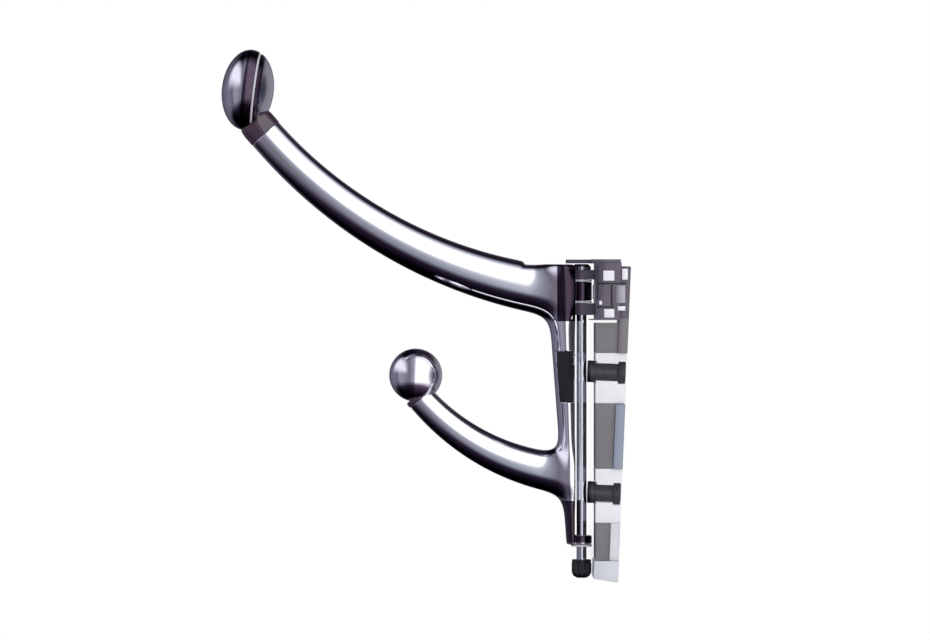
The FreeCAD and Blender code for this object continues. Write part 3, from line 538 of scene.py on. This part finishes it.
ARMS = {
    "upper": dict(centre=(-8.83, 193.54), bend=149.9, tip=math.radians(136.9),
                  root=math.radians(94.6), tip_radius=5.6, root_radius=8.2),
    "lower": dict(centre=(-12.9, 57.62), bend=71.6, tip=math.radians(137.0),
                  root=math.radians(93.5), tip_radius=4.5, root_radius=6.7),
}
SPINE_LOW, SPINE_TOP, TOP_FRONT = -36.1, 53.5, 18.0
KNUCKLES = ((41.8, 47.8), (-36.1, -33.3))
RELIEFS = ((47.8, 60.0), (36.7, 41.8))
PAD_BOX = ((-8.0, -2.7), 4.2, (9.6, 25.4))
BACK_GAP, BACK_HALF = 2.1, 4.6
KNUCKLE_RADIUS, BORE_RADIUS, RELIEF_RADIUS = 3.3, 2.3, 3.8
ARM_FILLET, FLANK_EDGE, SPINE_EDGE, TOP_EDGE = 9.0, 2.2, 0.7, 2.5


def spine_distance(u, v, w):
    """Distance to the tapered spine: a flat back, slanted flanks and a rounded front."""
    share = (w - SPINE_LOW) / (SPINE_TOP - SPINE_LOW)
    flank, half = 3.0 + 2.2 * share, 5.6 + 3.0 * share
    front = 4.8 + 6.7 * share
    rise = front - flank
    bend = (half ** 2 + rise ** 2) / (2 * rise)
    nose = np.hypot(u + front - bend, v) - bend
    run, across = flank - BACK_GAP, half - BACK_HALF
    length = np.hypot(run, across)
    slant = ((np.abs(v) - BACK_HALF) * run + (u + BACK_GAP) * across) / length
    body = soft_max(nose, slant, FLANK_EDGE)
    body = soft_max(body, u + BACK_GAP, SPINE_EDGE)
    return soft_max(body, np.maximum(SPINE_LOW - w, w - SPINE_TOP), SPINE_EDGE)


def casting_distance(p):
    """Distance to the finished casting, in millimetres."""
    back, up = np.array(ROD_BACK), np.array(ROD_UP)
    local = p - np.array(ROD_POINT) / MM
    u, v, w = local @ back, p[..., 1], local @ up
    solid = spine_distance(u, v, w)
    solid = soft_min(solid, arm_distance(p, **ARMS["upper"]), ARM_FILLET)
    solid = soft_min(solid, arm_distance(p, **ARMS["lower"]), ARM_FILLET)
    solid = soft_max(solid, u + BACK_GAP, SPINE_EDGE)
    solid = soft_max(solid, np.minimum(w - SPINE_TOP, u + TOP_FRONT), TOP_EDGE)
    rod = np.hypot(u, v)
    for low, high in RELIEFS:
        room = np.maximum(rod - RELIEF_RADIUS, np.maximum(low - w, w - high))
        solid = soft_max(solid, -room, 0.5)
    for low, high in KNUCKLES:
        knuckle = soft_max(rod - KNUCKLE_RADIUS, np.maximum(low - w, w - high), 0.4)
        solid = soft_min(solid, knuckle, 0.5)
        solid = soft_max(solid, BORE_RADIUS - rod - np.clip(low - 0.5 - w, 0, None)
                         - np.clip(w - high - 0.5, 0, None), 0.2)
    (near, far), inner, (low, high) = PAD_BOX
    seat = np.maximum(np.maximum(near - u, u - far), np.maximum(low - w, w - high))
    return soft_max(solid, -np.maximum(seat, inner - np.abs(v)), 0.3)


def direction(distance, points):
    """Which way the distance grows, and how fast."""
    return np.stack([(distance(points + shift) - distance(points - shift)) / (2 * NUDGE)
                     for shift in np.eye(3) * NUDGE], -1)


def onto_surface(distance, points, reach):
    """The points moved onto the surface, each by no more than reach."""
    slope = direction(distance, points)
    steep = np.maximum((slope ** 2).sum(-1), LEAST_SLOPE)
    move = -(distance(points) / steep)[:, None] * slope
    size = np.linalg.norm(move, axis=1, keepdims=True)
    return points + move * np.minimum(1, reach / np.maximum(size, 1e-9))


def skin(distance, low, high, cell):
    """The zero surface of a distance formula as points and four-sided faces."""
    counts = np.ceil((high - low) / cell).astype(int) + 1
    axes = [low[i] + cell * np.arange(counts[i]) for i in range(3)]
    inside = distance(np.stack(np.meshgrid(*axes, indexing="ij"), -1)) < 0
    corners = np.zeros(counts - 1, int)
    for i in (0, 1):
        for j in (0, 1):
            for k in (0, 1):
                corners += inside[i:counts[0] - 1 + i, j:counts[1] - 1 + j, k:counts[2] - 1 + k]
    mixed = (corners > 0) & (corners < 8)
    number = np.full(mixed.shape, -1)
    number[mixed] = np.arange(mixed.sum())
    points = low + cell * (np.argwhere(mixed) + 0.5)
    faces = []
    for axis in range(3):
        one, other = (axis + 1) % 3, (axis + 2) % 3
        near = np.take(inside, range(counts[axis] - 1), axis)
        far = np.take(inside, range(1, counts[axis]), axis)
        for outward, flip in ((near & ~far, False), (far & ~near, True)):
            at = np.argwhere(outward)
            around = []
            for a, b in ((0, 0), (-1, 0), (-1, -1), (0, -1)):
                cells = at.copy()
                cells[:, one] += a
                cells[:, other] += b
                around.append(number[tuple(cells.T)])
            quad = np.stack(around, -1)
            faces.append(quad[:, ::-1] if flip else quad)
    faces = np.concatenate(faces)
    if faces.min() < 0:
        raise RuntimeError("the grid is too small for the surface")
    for turn in range(TURNS):
        points = onto_surface(distance, points, cell)
        if turn in EVENING_TURNS:
            middles = points[faces].mean(1)
            total = np.zeros_like(points)
            share = np.zeros(len(points))
            for corner in range(4):
                np.add.at(total, faces[:, corner], middles)
                np.add.at(share, faces[:, corner], 1)
            points = total / share[:, None]
    return points, faces


def make_casting():
    """The casting's skin as a piece."""
    cell = CELL
    points, faces = skin(casting_distance, GRID_LOW, GRID_HIGH, cell)
    mesh = bpy.data.meshes.new("hook_casting_skin")
    mesh.from_pydata((points * MM).tolist(), [], faces.tolist())
    mesh.shade_smooth()
    slope = direction(casting_distance, points)
    slope /= np.linalg.norm(slope, axis=1, keepdims=True)
    mesh.normals_split_custom_set_from_vertices(slope.tolist())
    new_piece("hook_casting_skin", mesh, "hook", ("hook_casting",), (CHROME_WITH_PAINTED_REFLECTIONS,))
    print("casting faces:", len(faces))


make_casting()

# %% [markdown]
# ## Knob, neck and ball
#
# The knob is two shells that meet at a seam. The band beside the seam is a painted dark reflection, coloured
# darker than the chrome. The neck ring closes the gap between the knob and the arm, and a thin ring seats the
# ball.


# %% Knob, neck and ball
def along(origin, axis):
    """A matrix at a point in millimetres whose Z axis points along a direction."""
    turn = Vector(axis).to_track_quat("Z", "Y").to_matrix().to_4x4()
    return Matrix.Translation(Vector(origin) * MM) @ turn


def tip_matrix(arm):
    """The matrix at an arm's tip, with Z out of the arm."""
    shape = ARMS[arm]
    x = shape["centre"][0] + shape["bend"] * math.cos(shape["tip"])
    z = shape["centre"][1] - shape["bend"] * math.sin(shape["tip"])
    return along((x, 0, z), (-math.sin(shape["tip"]), 0, -math.cos(shape["tip"])))


KNOB_RADIUS, KNOB_HALF, KNOB_WALL = 12.9, 8.3, 2.2
SEAM, SEAM_HALF, LIP = -2.6, 0.3, 0.35
# the band of painted dark reflection on the knob, in mm along the knob's axis
REFLECTION_BAND_LOW, REFLECTION_BAND_HIGH = -4.5, 1.0
TILT = math.radians(5.0)
KNOB_MATRIX = along((-124.4, 0, 104.8), (-math.cos(TILT), 0, math.sin(TILT)))
BALL_CENTRE, BALL_RADIUS = (-67.0, 0, 15.8), 8.5


def shell_profile(sign):
    """Half a shell: from its pole along the outside to a rounded lip at the seam, and back inside."""
    edge = SEAM + sign * SEAM_HALF
    pole = sign * KNOB_HALF
    start = math.acos(sign)
    lip_angle = math.acos((edge + sign * LIP) / KNOB_HALF)
    outside = [(KNOB_RADIUS * math.sin(a), KNOB_HALF * math.cos(a))
               for a in np.linspace(start, lip_angle, 56)]
    outside[0] = (0.0, pole)
    radius = outside[-1][0]
    lip = [(radius - LIP * (1 - math.cos(a)), edge + sign * LIP * (1 - math.sin(a)))
           for a in np.linspace(0.25, math.pi / 2, 6)]
    inner_half, inner_radius = KNOB_HALF - KNOB_WALL, KNOB_RADIUS - KNOB_WALL
    inner_angle = math.acos(edge / inner_half)
    inside = [(inner_radius * math.sin(a), inner_half * math.cos(a))
              for a in np.linspace(inner_angle, start, 24)]
    inside[-1] = (0.0, sign * inner_half)
    return outside + lip + inside


def make_knob():
    """The two shells, each with its part of the painted dark reflection band."""
    to_knob = KNOB_MATRIX.inverted()
    for name, sign in (("knob_front", 1), ("knob_back", -1)):
        mesh = lathe(name + "_shell", shell_profile(sign), KNOB_MATRIX, 192)
        # faces inside the band get the painted dark reflection colour
        for face in mesh.polygons:
            height = (to_knob @ face.center).z / MM
            face.material_index = int(REFLECTION_BAND_LOW < height < REFLECTION_BAND_HIGH)
        new_piece(name + "_shell", mesh, "hook", (name,), (CHROME, PAINTED_DARK_REFLECTION))


def make_neck_and_ball():
    """The collar under the knob, the ball and the ring that seats it."""
    collar = [(3.0, -0.4), (5.4, -0.4), (5.75, -0.1), (5.75, 3.6), (5.5, 5.2), (5.0, 6.2), (3.0, 6.2)]
    # the collar's dark plum is partly a painted reflection of the dark knob band in the chrome
    new_piece("neck_collar", lathe("neck_collar", collar, tip_matrix("upper")), "hook",
              ("neck_ring",), (PLUM_AND_PAINTED_REFLECTION,))
    angles = np.linspace(0, math.pi, 72)
    ball = [(BALL_RADIUS * math.sin(a), BALL_RADIUS * math.cos(a)) for a in angles]
    ball[0], ball[-1] = (0.0, BALL_RADIUS), (0.0, -BALL_RADIUS)
    matrix = along(BALL_CENTRE, (0, 0, 1))
    new_piece("ball_polished", lathe("ball_polished", ball, matrix), "hook", ("lower_ball",),
              (CHROME,))
    seat = [(3.2, -0.5), (4.5, -0.5), (4.75, -0.2), (4.8, 0.5), (4.7, 1.1), (4.3, 1.3), (3.2, 1.3)]
    new_piece("ball_seat_ring", lathe("ball_seat_ring", seat, tip_matrix("lower")), "hook", (),
              (PLUM_AND_PAINTED_REFLECTION,))


make_knob()
make_neck_and_ball()
print("knob, neck and ball ready")

# %% [markdown]
# ## The bracket
#
# The blocky pieces get rounded edges, because a real moulded edge always catches a line of light.
# The housing at the top is smoked, and the channel below it is clear.

# %% Bracket pieces
soften("carrier", 0.12)
for name in ("wall_plate", "foot_block", "housing_lid", "block_lower", "block_middle",
             "block_upper", "boss_upper_high", "boss_upper_low", "boss_lower_high",
             "boss_lower_low", "brake_shoe", "brake_bar", "lock_ring"):
    soften(name, 0.18)
for name in ("sleeve_upper", "sleeve_lower", "ferrule_upper", "ferrule_lower", "washer_top",
             "washer_middle", "washer_bottom", "rod_cap", "lock_nut"):
    soften(name, 0.1)
ROD_RADIUS, ROD_CHAMFER, ROD_LOW, ROD_HIGH = 1.6, 0.3, -45.0, 52.8
rod_profile = [(0.0, ROD_LOW), (ROD_RADIUS - ROD_CHAMFER, ROD_LOW),
               (ROD_RADIUS, ROD_LOW + ROD_CHAMFER), (ROD_RADIUS, ROD_HIGH), (0.0, ROD_HIGH)]
new_piece("pivot_rod_ground", lathe("pivot_rod_ground", rod_profile, ROD_MATRIX, 96), "bracket",
          ("pivot_rod",), (STEEL,))
print("bracket ready")

# %% [markdown]
# ## Small plates in the housing
#
# The smoked housing holds a set of small bright and dark plates and ribs, the same on both sides. Each
# is given by where it starts and ends along u and w. The last two are painted highlights on the hook.

# %% Housing details
HOUSING_PLATES = (
    ("latch_window", (6.6, 10.1), (48.1, 51.3), ENAMEL, "bracket", 10.3),
    ("wall_window", (12.6, 14.4), (48.4, 51.9), ENAMEL, "bracket", 10.25),
    ("low_window", (6.9, 10.1), (36.4, 39.1), ENAMEL, "bracket", 10.3),
    ("oval_stop", (11.2, 13.6), (38.6, 40.0), ENAMEL, "bracket", 10.25),
    ("bar_end", (10.4, 13.6), (41.0, 46.6), NICKEL, "bracket", 10.2),
    ("small_stud", (5.3, 6.2), (40.5, 41.7), ENAMEL, "bracket", 10.25),
    ("upper_rib", (4.6, 14.0), (47.0, 47.5), BLACK, "bracket", 10.2),
    ("front_rib", (4.6, 5.1), (42.2, 52.6), BLACK, "bracket", 10.2),
    ("middle_rib", (9.0, 9.6), (40.2, 46.8), BLACK, "bracket", 10.2),
    ("lower_rib", (4.6, 10.2), (39.5, 40.0), BLACK, "bracket", 10.2),
    # on the hook's cheeks: painted highlights, small bright plates set in the painted dark reflection
    ("cheek_bar", (-4.3, -3.1), (35.9, 40.3), ENAMEL, "hook", 7.3),
    ("cheek_stop", (-8.1, -6.5), (40.0, 42.4), NICKEL, "hook", 7.75),
)
for side, word in ((-1, "right"), (1, "left")):
    for name, u, w, material, body, outer in HOUSING_PLATES:
        tile("%s_%s" % (name, word), u, w, outer, material, body, side)
print("housing plates:", 2 * len(HOUSING_PLATES))

# %% [markdown]
# ## Ribs that repeat round an axis
#
# The lock nut and the rod's cap are gripped by rows of small upright ribs. One node group makes such
# a ring from five named inputs. Its result is turned into a plain mesh, so nothing is left to update.


# %% Rings of ribs
def rib_ring_group():
    """The node group: a rib on every point of a circle, as one mesh with one material."""
    group = bpy.data.node_groups.new("ring_of_ribs", "GeometryNodeTree")
    for name, kind in (("Count", "Int"), ("Ring Radius", "Float"), ("Rib Radius", "Float"),
                       ("Rib Height", "Float"), ("Material", "Material")):
        group.interface.new_socket(name=name, in_out="INPUT", socket_type="NodeSocket" + kind)
    group.interface.new_socket(name="Geometry", in_out="OUTPUT", socket_type="NodeSocketGeometry")
    given = add_node(group, "NodeGroupInput").outputs
    ring = add_node(group, "GeometryNodeMeshCircle",
                    {"Vertices": given["Count"], "Radius": given["Ring Radius"]})
    rib = add_node(group, "GeometryNodeMeshCylinder",
                   {"Radius": given["Rib Radius"], "Depth": given["Rib Height"]}, {"Vertices": 12})
    spread = add_node(group, "GeometryNodeInstanceOnPoints",
                      {"Points": ring.outputs["Mesh"], "Instance": rib.outputs["Mesh"]})
    real = add_node(group, "GeometryNodeRealizeInstances", {"Geometry": spread.outputs[0]})
    look = add_node(group, "GeometryNodeSetMaterial",
                    {"Geometry": real.outputs[0], "Material": given["Material"]})
    add_node(group, "NodeGroupOutput", {"Geometry": look.outputs[0]})
    return group


def rib_ring(name, group, body, middle_w, settings):
    """One ring of ribs round the rod at a height, as a plain mesh."""
    carrier_mesh = bpy.data.meshes.new(name + "_source")
    source = bpy.data.objects.new(name + "_source", carrier_mesh)
    bpy.context.scene.collection.objects.link(source)
    modifier = source.modifiers.new("ribs", "NODES")
    modifier.node_group = group
    for item in group.interface.items_tree:
        if item.name in settings:
            modifier[item.identifier] = settings[item.name]
    made = source.evaluated_get(bpy.context.evaluated_depsgraph_get())
    mesh = bpy.data.meshes.new_from_object(made)
    mesh.name = name
    mesh.transform(ROD_MATRIX @ Matrix.Translation((0, 0, middle_w * MM))
                   @ Matrix.Rotation(math.pi / settings["Count"], 4, "Z"))
    mesh.shade_smooth()
    mesh.set_sharp_from_angle(angle=math.radians(40))
    bpy.data.objects.remove(source)
    return new_piece(name, mesh, body)


ribs = rib_ring_group()
rib_ring("lock_nut_ribs", ribs, "lock_nut", -43.5, {
    "Count": 12, "Ring Radius": 2.95 * MM, "Rib Radius": 0.3 * MM, "Rib Height": 2.9 * MM,
    "Material": BLACK})
rib_ring("rod_cap_ribs", ribs, "bracket", 52.15, {
    "Count": 24, "Ring Radius": 2.85 * MM, "Rib Radius": 0.18 * MM, "Rib Height": 0.9 * MM,
    "Material": SMOKE})
print("rings of ribs ready")

# %% Floor
def add_floor():
    """A plain pale floor well below the hook."""
    bm = bmesh.new()
    bmesh.ops.create_grid(bm, x_segments=1, y_segments=1, size=1.0)
    mesh = bpy.data.meshes.new("floor")
    bm.to_mesh(mesh)
    bm.free()
    floor = bpy.data.objects.new("floor", mesh)
    floor.location = (-0.05, 0, -0.3)
    floor.visible_glossy = False
    mesh.materials.append(new_material("floor_paint", "#f2f2f2", 0.9, gloss=0.0))
    bpy.context.scene.collection.objects.link(floor)


add_floor()
